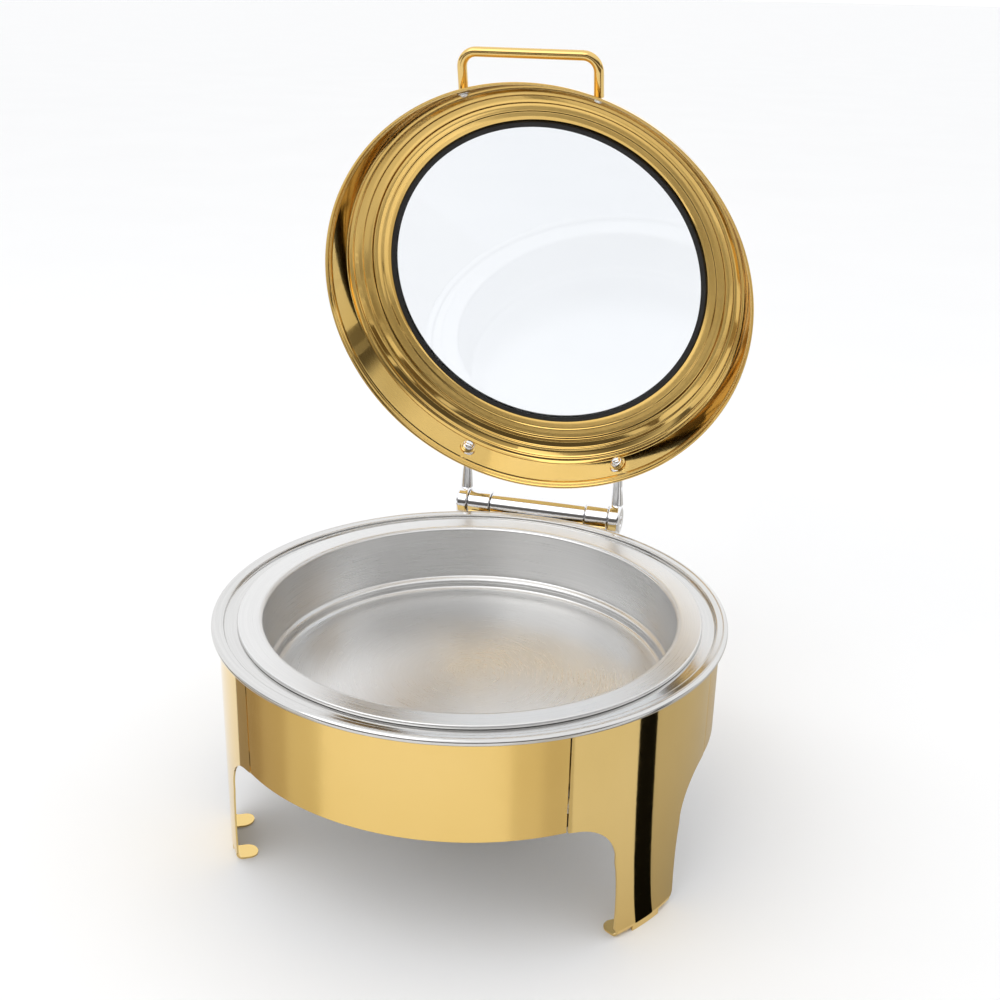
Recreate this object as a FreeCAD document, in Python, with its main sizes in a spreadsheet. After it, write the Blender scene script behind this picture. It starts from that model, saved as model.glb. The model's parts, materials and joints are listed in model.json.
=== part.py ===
import FreeCAD, Part
import math
import os

# Round chafing dish: a three-legged gold stand, a water pan and a food pan, and a
# glazed lid on a friction hinge at the back. Millimetres, Z up, front faces -Y.
# The origin is on the table under the middle of the dish.

os.makedirs("parts", exist_ok=True)
doc = FreeCAD.newDocument("chafing_dish")
V = FreeCAD.Vector

# ---------------------------------------------------------------- driving sizes
sheet = doc.addObject("Spreadsheet::Sheet", "sizes")
ROWS = []


def size(name, value):
    """Add one named driving size to the sheet and return its number."""
    row = len(ROWS) + 1
    ROWS.append(name)
    sheet.set("A%d" % row, name)
    sheet.set("B%d" % row, "%.4f" % value)
    sheet.setAlias("B%d" % row, name)
    return float(value)


stand_radius = size("stand_radius", 211.0)
plate_thickness = size("plate_thickness", 1.5)
skirt_bottom = size("skirt_bottom", 115.8)
skirt_height = size("skirt_height", 86.2)
skirt_angle = size("skirt_angle", 74.4)
leg_angle = size("leg_angle", 44.8)
ring_height = size("ring_height", 10.0)
ring_thickness = size("ring_thickness", 2.0)
tab_width = size("tab_width", 18.0)
tab_length = size("tab_length", 14.0)
pan_bore = size("pan_bore", 191.0)
food_bore = size("food_bore", 175.0)
hinge_back = size("hinge_back", 230.5)
hinge_level = size("hinge_level", 205.0)
lid_level = size("lid_level", 201.6)
open_angle = size("open_angle", 76.5)
barrel_radius = size("barrel_radius", 12.2)
barrel_length = size("barrel_length", 98.0)
sleeve_radius = size("sleeve_radius", 13.6)
sleeve_length = size("sleeve_length", 23.0)
cap_radius = size("cap_radius", 15.0)
cap_length = size("cap_length", 11.5)
shaft_radius = size("shaft_radius", 5.0)
shaft_bore = size("shaft_bore", 5.05)
handle_radius = size("handle_radius", 4.2)
handle_span = size("handle_span", 118.0)
glass_radius = size("glass_radius", 149.0)
glass_thickness = size("glass_thickness", 4.0)
cup_radius = size("cup_radius", 40.0)
cup_height = size("cup_height", 42.0)
can_level = size("can_level", 34.0)
full_turn = size("full_turn", 360.0)
rivet_radius = size("rivet_radius", 3.2)
rivet_height = size("rivet_height", 1.8)
bracket_screw_radius = size("bracket_screw_radius", 3.5)
bracket_screw_height = size("bracket_screw_height", 2.2)
handle_washer_radius = size("handle_washer_radius", 5.8)
handle_washer_height = size("handle_washer_height", 1.0)
handle_screw_radius = size("handle_screw_radius", 4.2)
handle_screw_height = size("handle_screw_height", 2.6)
cap_screw_radius = size("cap_screw_radius", 4.6)
cap_screw_height = size("cap_screw_height", 2.6)
arm_washer_radius = size("arm_washer_radius", 8.0)
arm_washer_height = size("arm_washer_height", 1.2)
nut_dome_radius = size("nut_dome_radius", 4.8)
nut_dome_height = size("nut_dome_height", 6.4)
snuffer_radius = size("snuffer_radius", 24.0)
snuffer_thickness = size("snuffer_thickness", 1.4)
snuffer_pin_radius = size("snuffer_pin_radius", 2.5)
snuffer_hole_radius = size("snuffer_hole_radius", 2.55)
doc.recompute()

skirt_top = skirt_bottom + skirt_height
inner = stand_radius - plate_thickness
LEG_AT = {"leg_front_left": -150.0, "leg_front_right": -30.0, "leg_back": 90.0}
SKIRT_AT = {"skirt_front": -90.0, "skirt_right": 30.0, "skirt_left": 150.0}

made = []


# ---------------------------------------------------------------- small helpers
def rename(obj, label):
    obj.Label = label
    made.append(obj)
    return obj


def origin_plane(body, role):
    return [f for f in body.Origin.OriginFeatures if f.Role == role][0]


def profile(sketch, points):
    """Closed outline of straight lines through the points."""
    count = len(points)
    for i in range(count):
        a = points[i]
        b = points[(i + 1) % count]
        sketch.addGeometry(Part.LineSegment(V(a[0], a[1], 0), V(b[0], b[1], 0)), False)


def turned(label, points):
    """Body turned about its own Z axis from a radius and height outline."""
    body = doc.addObject("PartDesign::Body", label)
    sketch = body.newObject("Sketcher::SketchObject", label + "_outline")
    sketch.AttachmentSupport = [(origin_plane(body, "XZ_Plane"), "")]
    sketch.MapMode = "FlatFace"
    profile(sketch, points)
    doc.recompute()
    turn = body.newObject("PartDesign::Revolution", label + "_turn")
    turn.Profile = sketch
    turn.ReferenceAxis = (sketch, ["V_Axis"])
    turn.setExpression("Angle", "sizes.full_turn")
    body.Tip = turn
    doc.recompute()
    return body


def cylinder(name, radius, height, place=None, radius_from=None, height_from=None):
    obj = doc.addObject("Part::Cylinder", name)
    obj.Radius = radius
    obj.Height = height
    if radius_from:
        obj.setExpression("Radius", radius_from)
    if height_from:
        obj.setExpression("Height", height_from)
    obj.Placement = place or FreeCAD.Placement()
    return obj


def box(name, low, high):
    obj = doc.addObject("Part::Box", name)
    obj.Length = high[0] - low[0]
    obj.Width = high[1] - low[1]
    obj.Height = high[2] - low[2]
    obj.Placement.Base = V(*low)
    return obj


def cut(name, base, tool):
    obj = doc.addObject("Part::Cut", name)
    obj.Base = base
    obj.Tool = tool
    return obj


def fuse(name, shapes):
    obj = doc.addObject("Part::MultiFuse", name)
    obj.Shapes = shapes
    return obj


def common(name, shapes):
    obj = doc.addObject("Part::MultiCommon", name)
    obj.Shapes = shapes
    return obj


def group(name, shapes):
    """Separate solids kept side by side as one named piece."""
    obj = doc.addObject("Part::Compound", name)
    obj.Links = shapes
    return obj


def along(direction, base):
    """Placement that turns +Z to the direction and moves to the base point."""
    turn = FreeCAD.Rotation(V(0, 0, 1), V(*direction))
    return FreeCAD.Placement(V(*base), turn)


def polar(radius, degrees, height=0.0):
    a = math.radians(degrees)
    return V(radius * math.cos(a), radius * math.sin(a), height)


# ---------------------------------------------------------------- stand: skirts
def arc_panel(name, middle, angle_name, low, high):
    """Curved plate of the stand centred on one direction."""
    outer_cyl = cylinder(name + "_outer", stand_radius, high - low, None, "sizes.stand_radius")
    bore_cyl = cylinder(name + "_bore", inner, high - low, None,
                        "sizes.stand_radius - sizes.plate_thickness")
    for c in (outer_cyl, bore_cyl):
        c.setExpression("Angle", "sizes." + angle_name)
        c.Placement = FreeCAD.Placement(V(0, 0, low), FreeCAD.Rotation(V(0, 0, 1), 0))
    plate = cut(name, outer_cyl, bore_cyl)
    span = skirt_angle if angle_name == "skirt_angle" else leg_angle
    plate.Placement = FreeCAD.Placement(V(), FreeCAD.Rotation(V(0, 0, 1), middle - span / 2))
    return plate


for name, middle in SKIRT_AT.items():
    rename(arc_panel(name, middle, "skirt_angle", skirt_bottom, skirt_top), name)


# ---------------------------------------------------------------- stand: legs
# The leg is a curved plate: full width beside the skirts, drawn in by two concave
# curves to a narrow shank, with two tabs at the foot that bend inward to lie flat.
SHANK_HALF = 36.0
WAIST_HALF = 35.0
CURVE_LOW = 72.0
TAB_BEND = 6.0


def leg_outline():
    """Half outline of the leg, as (sideways, height) pairs, from foot to top."""
    points = [(0.0, 0.0), (16.0, 0.0), (16.0, TAB_BEND), (SHANK_HALF - 4.0, TAB_BEND)]
    points.append((SHANK_HALF - 1.0, TAB_BEND + 3.0))
    points.append((WAIST_HALF, 30.0))
    points.append((WAIST_HALF + 1.0, 52.0))
    points.append((SHANK_HALF + 1.5, CURVE_LOW))
    radius = skirt_bottom - CURVE_LOW - 2.0
    centre = (SHANK_HALF + 1.5 + radius, CURVE_LOW)
    for step in range(1, 9):
        a = math.radians(180.0 - step * 10.5)
        points.append((centre[0] + radius * math.cos(a) * 0.93 - 0.07 * radius,
                       centre[1] + radius * math.sin(a)))
    points.append((100.0, skirt_bottom - 0.5))
    points.append((100.0, skirt_top))
    return points


def leg_block(name):
    """Flat slab with the leg outline, wide enough to trim the curved plate."""
    half = leg_outline()
    sketch_points = half + [(-x, y) for x, y in reversed(half) if x > 0]
    body = doc.addObject("PartDesign::Body", name)
    sketch = body.newObject("Sketcher::SketchObject", name + "_outline")
    sketch.AttachmentSupport = [(origin_plane(body, "YZ_Plane"), "")]
    sketch.MapMode = "FlatFace"
    profile(sketch, sketch_points)
    doc.recompute()
    pad = body.newObject("PartDesign::Pad", name + "_pad")
    pad.Profile = sketch
    pad.Length = 300.0
    body.Tip = pad
    doc.recompute()
    return body


def foot_tab(name, side):
    """One foot tab: a bend out of the plate and a flat rounded tongue on the table."""
    sideways = side * (SHANK_HALF - 4.0 - tab_width / 2)
    reach = stand_radius - plate_thickness
    middle = math.sqrt(inner ** 2 - sideways ** 2)
    outer_r = TAB_BEND
    ring_a = cylinder(name + "_bend_outer", outer_r, tab_width, None, None, "sizes.tab_width")
    ring_b = cylinder(name + "_bend_inner", outer_r - plate_thickness, tab_width, None, None,
                      "sizes.tab_width")
    for c in (ring_a, ring_b):
        c.Placement = FreeCAD.Placement(V(), FreeCAD.Rotation(V(1, 0, 0), -90))
    ring = cut(name + "_bend_ring", ring_a, ring_b)
    quarter = box(name + "_quarter", (0, 0, -outer_r), (outer_r, tab_width, 0))
    bend = common(name + "_bend", [ring, quarter])
    flat = box(name + "_flat", (-(tab_length - tab_width / 2), 0, -outer_r),
               (0, tab_width, -outer_r + plate_thickness))
    tip = cylinder(name + "_tip", tab_width / 2, plate_thickness,
                   FreeCAD.Placement(V(-(tab_length - tab_width / 2), tab_width / 2, -outer_r),
                                     FreeCAD.Rotation()), None, "sizes.plate_thickness")
    tab = fuse(name, [bend, flat, tip])
    tilt = math.degrees(math.asin(sideways / reach))
    turn = FreeCAD.Rotation(V(0, 0, 1), tilt)
    start = V(middle + 0.75 - outer_r + 0.7, sideways, outer_r)
    shift = turn.multVec(V(0, -tab_width / 2, 0))
    tab.Placement = FreeCAD.Placement(start + shift, turn)
    return tab


for name, middle in LEG_AT.items():
    plate = arc_panel(name + "_plate", 0.0, "leg_angle", 0.0, skirt_top)
    trimmed = common(name + "_trimmed", [plate, leg_block(name + "_block")])
    tabs = [foot_tab(name + "_tab%d" % (k + 1), s) for k, s in enumerate((1, -1))]
    leg = fuse(name, [trimmed] + tabs)
    leg.Placement = FreeCAD.Placement(V(), FreeCAD.Rotation(V(0, 0, 1), middle))
    rename(leg, name)


# ---------------------------------------------------------------- stand: inner rings
def hoop(name, low):
    outer_cyl = cylinder(name + "_outer", inner - 0.05, ring_height, None,
                         "sizes.stand_radius - sizes.plate_thickness - 0.05", "sizes.ring_height")
    bore_cyl = cylinder(name + "_bore", 1.0, ring_height, None,
                        "sizes.stand_radius - sizes.plate_thickness - 0.05 - sizes.ring_thickness",
                        "sizes.ring_height")
    ring = cut(name, outer_cyl, bore_cyl)
    ring.Placement = FreeCAD.Placement(V(0, 0, low), FreeCAD.Rotation())
    return ring


UPPER_HOOP = 184.0
LOWER_HOOP = 120.0
rename(hoop("upper_hoop", UPPER_HOOP), "upper_hoop")
rename(hoop("lower_hoop", LOWER_HOOP), "lower_hoop")


def rivet_row(name, level, angles):
    """Rivet heads inside the hoops, one at each end of every plate."""
    face = inner - 0.05 - ring_thickness
    pins = []
    for k, a in enumerate(angles):
        spot = polar(face - 1.85, a, level)
        pins.append(cylinder("%s_%02d" % (name, k), rivet_radius, rivet_height,
                             along(polar(1, a), spot), "sizes.rivet_radius",
                             "sizes.rivet_height"))
    return group(name, pins)


def plate_ends(middles, half):
    return [m + side * half for m in middles for side in (-1, 1)]


leg_rivet_angles = plate_ends(LEG_AT.values(), leg_angle / 2 - 5)
skirt_rivet_angles = plate_ends(SKIRT_AT.values(), skirt_angle / 2 - 5)
rename(rivet_row("leg_rivets_upper", UPPER_HOOP + ring_height / 2, leg_rivet_angles),
       "leg_rivets_upper")
rename(rivet_row("leg_rivets_lower", LOWER_HOOP + ring_height / 2, leg_rivet_angles),
       "leg_rivets_lower")
rename(rivet_row("skirt_rivets_upper", UPPER_HOOP + ring_height / 2, skirt_rivet_angles),
       "skirt_rivets_upper")
rename(rivet_row("skirt_rivets_lower", LOWER_HOOP + ring_height / 2, skirt_rivet_angles),
       "skirt_rivets_lower")

# ---------------------------------------------------------------- water pan
# Rolled bead over the top of the stand, a raised band, a step to the ledge that the
# closed lid stands on, and the deep water bowl.
SHEET = 1.2
water = [
    (213.4, 199.2), (215.9, 199.8), (217.0, 201.6), (216.9, 203.4), (215.6, 205.0),
    (213.8, 205.4), (212.4, 204.8), (208.0, 204.4), (206.8, 203.8), (206.4, 201.2),
    (193.0, 201.0), (pan_bore, 199.8), (pan_bore, 126.0), (pan_bore - 4, 122.2),
    (pan_bore - 9, 121.0), (0.0, 121.0), (0.0, 121.0 - SHEET),
    (pan_bore - 9, 121.0 - SHEET), (pan_bore - 3.4, 121.2), (pan_bore + SHEET, 125.6),
    (pan_bore + SHEET, 199.2), (193.6, 199.8), (207.4, 199.9), (207.9, 203.0), (212.6, 203.4),
]
rename(turned("water_pan", water), "water_pan")

# ---------------------------------------------------------------- food pan
# Flat brushed flange that lies on the ledge, straight wall, a rounded ridge just above
# the floor and a flat floor.
food = [
    (195.6, 201.4), (195.8, 203.4), (195.0, 204.6), (178.0, 204.0), (food_bore + 0.6, 203.2),
    (food_bore - 0.6, 201.6), (food_bore - 1.4, 156.0), (food_bore - 1.6, 153.0),
    (food_bore - 5.0, 150.6), (food_bore - 6.2, 148.0), (food_bore - 5.4, 145.4),
    (food_bore - 5.8, 143.4), (food_bore - 8.5, 141.4), (food_bore - 13, 140.6), (0.0, 140.6),
    (0.0, 140.6 - SHEET), (food_bore - 12.6, 140.6 - SHEET), (food_bore - 7.2, 140.6),
    (food_bore - 4.2, 142.9), (food_bore - 4.0, 145.6), (food_bore - 4.8, 148.0),
    (food_bore - 3.8, 149.6), (food_bore - 0.2, 152.2), (food_bore - 0.1, 156.0),
    (food_bore + 0.7, 201.2), (178.4, 202.7), (194.0, 203.2), (194.4, 201.4),
]
rename(turned("food_pan", food), "food_pan")

# ---------------------------------------------------------------- hinge, fixed half
# Everything about the hinge is laid out on a line along X through the axis point.
AXIS = V(0, hinge_back, hinge_level)
half_barrel = barrel_length / 2
gap = 0.35
sleeve_from = half_barrel + gap
cap_from = sleeve_from + sleeve_length + gap


def tube(name, radius_alias, length_alias, start, length):
    """Round tube along X with the shaft bore through it."""
    place = along((1, 0, 0), (start, hinge_back, hinge_level))
    outside = cylinder(name + "_outside", 1.0, length, place, "sizes." + radius_alias,
                       "sizes." + length_alias)
    bore = cylinder(name + "_bore", 1.0, length, place, "sizes.shaft_bore",
                    "sizes." + length_alias)
    return cut(name, outside, bore)


rename(tube("hinge_barrel", "barrel_radius", "barrel_length", -half_barrel, barrel_length),
       "hinge_barrel")
rename(tube("hinge_sleeve_left", "sleeve_radius", "sleeve_length",
            -sleeve_from - sleeve_length, sleeve_length), "hinge_sleeve_left")
rename(tube("hinge_sleeve_right", "sleeve_radius", "sleeve_length", sleeve_from, sleeve_length),
       "hinge_sleeve_right")

# Bracket: a cradle under the barrel and sleeves, a web down the back of the stand and a
# plate against the back leg.
CRADLE = 2.5
back_face = stand_radius + 0.02
saddle_low = hinge_level - sleeve_radius - CRADLE
saddle = box("bracket_saddle", (-71.0, back_face + 5.0, saddle_low),
             (71.0, hinge_back + 12.0, hinge_level - 6.0))
web = box("bracket_web", (-71.0, 205.0, 158.0), (71.0, 214.5, saddle_low + 2.5))
floor_plate = box("bracket_shelf", (-71.0, 205.0, saddle_low), (71.0, hinge_back + 12.0,
                                                               saddle_low + CRADLE))
bracket_raw = fuse("bracket_raw", [saddle, web, floor_plate])
leg_core = cylinder("bracket_leg_core", back_face, 400.0, None, "sizes.stand_radius + 0.02")
rim_core = cylinder("bracket_rim_core", 218.0, 60.0, FreeCAD.Placement(V(0, 0, 196.9),
                                                                      FreeCAD.Rotation()))
round_core = cylinder("bracket_round_core", sleeve_radius + 0.02, 144.0,
                      along((1, 0, 0), (-72.0, hinge_back, hinge_level)),
                      "sizes.sleeve_radius + 0.02")
cores = fuse("bracket_cores", [leg_core, rim_core, round_core])
rename(cut("hinge_bracket", bracket_raw, cores), "hinge_bracket")


def bracket_screws():
    pins = []
    for k, (x, z) in enumerate([(-45, 168), (45, 168), (-45, 182), (45, 182)]):
        pins.append(cylinder("bracket_screw_%d" % k, bracket_screw_radius,
                             bracket_screw_height, along((0, 1, 0), (x, 214.52, z)),
                             "sizes.bracket_screw_radius", "sizes.bracket_screw_height"))
    return group("bracket_screws", pins)


rename(bracket_screws(), "bracket_screws")

# ---------------------------------------------------------------- lid, closed layout
# Lid pieces are laid out closed and then swung about the hinge axis to the rest pose.
swing = FreeCAD.Rotation(V(1, 0, 0), -open_angle)
LID = FreeCAD.Placement(AXIS - swing.multVec(AXIS), swing)
LEVEL = lid_level


def lift(points):
    return [(r, LEVEL + z) for r, z in points]


def lid_piece(obj, label):
    obj.Placement = LID.multiply(obj.Placement)
    return rename(obj, label)


# The side wall of the lid is straight between these two heights, so everything that is
# fixed to it sits on one plain cone.
WALL_FROM = 12.0
WALL_OUT = 196.4
WALL_IN = 195.2
WALL_SLOPE = 0.312
FIX_HEIGHT = 21.0


def wall_cone(name, margin):
    """Solid cone just outside the lid wall, for trimming what stands on the wall."""
    cone = doc.addObject("Part::Cone", name)
    cone.Radius1 = WALL_OUT + 7.0 * WALL_SLOPE + margin
    cone.Radius2 = WALL_OUT - 25.0 * WALL_SLOPE + margin
    cone.Height = 32.0
    cone.Placement.Base = V(0, 0, LEVEL + WALL_FROM - 7.0)
    return cone


def wall_inside(x, front, clear):
    """Placement on the inner face of the lid wall, +Z pointing into the lid."""
    radius = WALL_IN - (FIX_HEIGHT - WALL_FROM) * WALL_SLOPE
    y = math.sqrt(radius ** 2 - x ** 2) * (-1.0 if front else 1.0)
    normal = V(-x / radius, -y / radius, -WALL_SLOPE)
    normal.normalize()
    spot = V(x, y, LEVEL + FIX_HEIGHT) + normal * clear
    return FreeCAD.Placement(spot, FreeCAD.Rotation(V(0, 0, 1), normal))


shell = lift([
    (200.4, 0.0), (200.6, 1.6), (199.2, 2.6), (197.8, 6.0), (196.4, 12.0), (190.8, 30.0),
    (188.0, 34.0), (183.0, 38.2), (177.5, 41.8), (172.0, 44.6), (170.6, 45.0), (169.4, 47.6),
    (166.0, 49.0), (160.0, 50.6), (154.0, 51.6), (152.6, 51.6), (152.6, 50.4), (154.0, 50.4),
    (160.0, 49.4), (165.4, 47.8), (168.2, 46.4), (169.6, 43.8), (171.4, 43.4), (176.8, 40.7),
    (182.2, 37.2), (187.0, 33.1), (189.6, 29.6), (195.2, 11.8), (196.6, 5.8), (197.6, 2.0),
    (198.8, 0.4),
])
lid_piece(turned("lid_shell", shell), "lid_shell")

gasket = lift([
    (155.0, 51.9), (155.0, 53.0), (152.8, 54.6), (148.0, 54.8), (147.0, 54.2), (147.0, 53.5),
    (149.3, 53.5), (149.3, 48.9), (147.0, 48.9), (147.0, 48.2), (148.0, 47.6), (151.4, 47.6),
    (152.3, 48.4), (152.3, 51.9),
])
lid_piece(turned("glass_gasket", gasket), "glass_gasket")

glass_body = cylinder("lid_glass_disc", 1.0, 1.0,
                      FreeCAD.Placement(V(0, 0, LEVEL + 49.2), FreeCAD.Rotation()),
                      "sizes.glass_radius", "sizes.glass_thickness")
lid_piece(group("lid_glass", [glass_body]), "lid_glass")

# ---------------------------------------------------------------- lid handle
HANDLE_REACH = 218.0
BEND = 13.0
ROOT = 190.0


def handle():
    """Round bar bent to a U, its two legs square on to the front of the lid wall."""
    half_span = handle_span / 2
    start = math.sqrt(ROOT ** 2 - half_span ** 2)
    z = LEVEL + FIX_HEIGHT
    pieces = []
    leg_end = HANDLE_REACH - BEND
    for side in (-1, 1):
        tag = "l" if side < 0 else "r"
        pieces.append(cylinder("handle_leg_" + tag, handle_radius, leg_end - start,
                               along((0, -1, 0), (side * half_span, -start, z)),
                               "sizes.handle_radius"))
        elbow = doc.addObject("Part::Torus", "handle_elbow_" + tag)
        elbow.Radius1 = BEND
        elbow.Radius2 = handle_radius
        elbow.setExpression("Radius2", "sizes.handle_radius")
        elbow.Angle3 = 90.0
        first = 180.0 if side < 0 else -90.0
        elbow.Placement = FreeCAD.Placement(V(side * (half_span - BEND), -leg_end, z),
                                            FreeCAD.Rotation(V(0, 0, 1), first))
        pieces.append(elbow)
    pieces.append(cylinder("handle_bar", handle_radius, 2 * (half_span - BEND),
                           along((1, 0, 0), (-(half_span - BEND), -HANDLE_REACH, z)),
                           "sizes.handle_radius"))
    return fuse("handle_bar_raw", pieces)


def handle_row(name, radius, thickness, clear, alias):
    """One disc behind each end of the handle, inside the lid wall."""
    pins = []
    for k, side in enumerate((-1, 1)):
        place = wall_inside(side * handle_span / 2, True, clear)
        pins.append(cylinder("%s_%d" % (name, k), radius, thickness, place,
                             "sizes." + alias + "_radius", "sizes." + alias + "_height"))
    return group(name, pins)


handle_bar = handle()
lid_piece(cut("lid_handle", handle_bar, wall_cone("handle_core", 0.02)), "lid_handle")
lid_piece(handle_row("handle_washers", handle_washer_radius, handle_washer_height, 0.15,
                     "handle_washer"), "handle_washers")
lid_piece(handle_row("handle_screws", handle_screw_radius, handle_screw_height, 1.17,
                     "handle_screw"), "handle_screws")


# ---------------------------------------------------------------- hinge, moving half
def hinge_cap(name, side):
    start = cap_from if side > 0 else -cap_from - cap_length
    place = along((1, 0, 0), (start, hinge_back, hinge_level))
    outside = cylinder(name + "_outside", cap_radius, cap_length, place, "sizes.cap_radius",
                       "sizes.cap_length")
    bore = cylinder(name + "_bore", shaft_radius, cap_length, place, "sizes.shaft_radius + 0.02",
                    "sizes.cap_length")
    return cut(name, outside, bore)


lid_piece(hinge_cap("hinge_cap_left", -1), "hinge_cap_left")
lid_piece(hinge_cap("hinge_cap_right", 1), "hinge_cap_right")

shaft_end = cap_from + cap_length - 2.0
shaft = cylinder("hinge_shaft_bar", shaft_radius, 2 * shaft_end,
                 along((1, 0, 0), (-shaft_end, hinge_back, hinge_level)), "sizes.shaft_radius")
lid_piece(group("hinge_shaft", [shaft]), "hinge_shaft")


def cap_screws():
    pins = []
    for k, side in enumerate((-1, 1)):
        start = side * (shaft_end + 0.02)
        pins.append(cylinder("cap_screw_%d" % k, cap_screw_radius, cap_screw_height,
                             along((side, 0, 0), (start, hinge_back, hinge_level)),
                             "sizes.cap_screw_radius", "sizes.cap_screw_height"))
    return group("hinge_cap_screws", pins)


lid_piece(cap_screws(), "hinge_cap_screws")

ARM_X = cap_from + cap_length / 2
ARM_RISE = 6.0


def hinge_arm(name, side):
    """Tapered arm from the end cap forward to the back wall of the lid."""
    cone = doc.addObject("Part::Cone", name + "_taper")
    radius = WALL_IN - (FIX_HEIGHT - WALL_FROM) * WALL_SLOPE
    x = side * ARM_X * 0.985
    target = V(x, math.sqrt(radius ** 2 - x ** 2), LEVEL + FIX_HEIGHT)
    source = V(side * ARM_X, hinge_back, hinge_level + ARM_RISE)
    direction = target - source
    cone.Radius1 = 6.6
    cone.Radius2 = 4.6
    cone.Height = direction.Length
    cone.Placement = FreeCAD.Placement(source, FreeCAD.Rotation(V(0, 0, 1), direction))
    collar = doc.addObject("Part::Cone", name + "_collar")
    unit = V(direction)
    unit.normalize()
    collar.Radius1 = 5.4
    collar.Radius2 = 8.4
    collar.Height = 12.0
    collar.Placement = FreeCAD.Placement(target - unit * 13.0,
                                         FreeCAD.Rotation(V(0, 0, 1), direction))
    arm = fuse(name + "_raw", [cone, collar])
    cap_core = cylinder(name + "_cap_core", cap_radius + 0.02, cap_length + 20,
                        along((1, 0, 0), (side * ARM_X - cap_length / 2 - 10, hinge_back,
                                          hinge_level)), "sizes.cap_radius + 0.02")
    trim = fuse(name + "_cores", [cap_core, wall_cone(name + "_wall_core", 0.02)])
    return cut(name, arm, trim)


lid_piece(hinge_arm("hinge_arm_left", -1), "hinge_arm_left")
lid_piece(hinge_arm("hinge_arm_right", 1), "hinge_arm_right")


def arm_washers():
    pins = []
    for k, side in enumerate((-1, 1)):
        place = wall_inside(side * ARM_X * 0.985, False, 0.25)
        pins.append(cylinder("arm_washer_%d" % k, arm_washer_radius, arm_washer_height, place,
                             "sizes.arm_washer_radius", "sizes.arm_washer_height"))
    return group("hinge_arm_washers", pins)


def arm_nuts():
    """Domed nuts on the ends of the arms, inside the lid."""
    nuts = []
    for k, side in enumerate((-1, 1)):
        hexagon = doc.addObject("Part::Prism", "arm_nut_hex_%d" % k)
        hexagon.Polygon = 6
        hexagon.Circumradius = 6.2
        hexagon.Height = 3.6
        dome = cylinder("arm_nut_dome_%d" % k, nut_dome_radius, nut_dome_height, None,
                        "sizes.nut_dome_radius", "sizes.nut_dome_height")
        nut = fuse("arm_nut_%d" % k, [hexagon, dome])
        nut.Placement = wall_inside(side * ARM_X * 0.985, False, 1.47)
        nuts.append(nut)
    return group("hinge_arm_nuts", nuts)


lid_piece(arm_washers(), "hinge_arm_washers")
lid_piece(arm_nuts(), "hinge_arm_nuts")

# ---------------------------------------------------------------- fuel holder
CUP_WALL = 1.2
cup = [
    (0.0, 0.0), (cup_radius - 2, 0.0), (cup_radius, 2.0), (cup_radius, cup_height),
    (cup_radius - CUP_WALL, cup_height), (cup_radius - CUP_WALL, 2.6),
    (cup_radius - 2.4, CUP_WALL), (0.0, CUP_WALL),
]
rename(turned("fuel_cup", cup), "fuel_cup")
# The can is filled to a flat level and has a collar round the opening on its top.
CAN_OUT = 36.4
CAN_MOUTH = 24.0
can = [
    (0.0, 1.4), (CAN_OUT - 0.4, 1.4), (CAN_OUT, 2.4), (CAN_OUT, can_level), (0.0, can_level),
]
rename(turned("fuel_can", can), "fuel_can")
collar_low = can_level + 0.02
collar = [
    (CAN_MOUTH, collar_low), (CAN_OUT, collar_low), (CAN_OUT, 38.0), (CAN_OUT - 1.4, 39.0),
    (CAN_MOUTH, 39.0),
]
rename(turned("fuel_can_collar", collar), "fuel_can_collar")
cover = [
    (20.0, cup_height + 0.02), (41.4, cup_height + 0.02), (41.4, cup_height + 1.6),
    (20.0, cup_height + 1.6),
]
rename(turned("fuel_cover", cover), "fuel_cover")

PIVOT_Y = 34.0
snuffer_low = cup_height + 2.0
snuffer_top = snuffer_low + snuffer_thickness


def upright(height, y=0.0):
    return FreeCAD.Placement(V(0, y, height), FreeCAD.Rotation())


disc = cylinder("snuffer_disc", snuffer_radius, snuffer_thickness, upright(snuffer_low),
                "sizes.snuffer_radius", "sizes.snuffer_thickness")
ear = box("snuffer_ear", (-7.0, 16.0, snuffer_low), (7.0, PIVOT_Y, snuffer_top))
ear_end = cylinder("snuffer_ear_end", 7.0, snuffer_thickness, upright(snuffer_low, PIVOT_Y),
                   None, "sizes.snuffer_thickness")
finger = box("snuffer_finger", (-5.0, -36.0, snuffer_low), (5.0, -20.0, snuffer_top))
pin_hole = cylinder("snuffer_hole", snuffer_hole_radius, 6.0,
                    upright(snuffer_low - 2, PIVOT_Y), "sizes.snuffer_hole_radius")
plate_all = fuse("snuffer_all", [disc, ear, ear_end, finger])
rename(cut("fuel_snuffer", plate_all, pin_hole), "fuel_snuffer")
stem = cylinder("rivet_stem", snuffer_pin_radius, 2.4, upright(cup_height + 1.62, PIVOT_Y),
                "sizes.snuffer_pin_radius")
head = cylinder("rivet_head", 4.5, 1.4, upright(snuffer_low + 1.7, PIVOT_Y))
rename(fuse("snuffer_rivet", [stem, head]), "snuffer_rivet")

# ---------------------------------------------------------------- check and write
doc.recompute()
problems = []
for obj in doc.Objects:
    if any(word in ("Invalid", "Error") for word in obj.State):
        problems.append("%s %s" % (obj.Name, obj.State))
for obj in made:
    shape = obj.Shape
    if shape.isNull() or not shape.isValid() or not shape.Solids:
        problems.append("%s shape" % obj.Label)
if problems:
    raise RuntimeError("; ".join(problems))
for obj in made:
    obj.Shape.exportStep("parts/%s.step" % obj.Label)
    b = obj.Shape.BoundBox
    print("%-20s %d %9.1f  %7.1f %7.1f  %7.1f %7.1f  %7.1f %7.1f" % (
        obj.Label, len(obj.Shape.Solids), obj.Shape.Volume,
        b.XMin, b.XMax, b.YMin, b.YMax, b.ZMin, b.ZMax))
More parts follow.
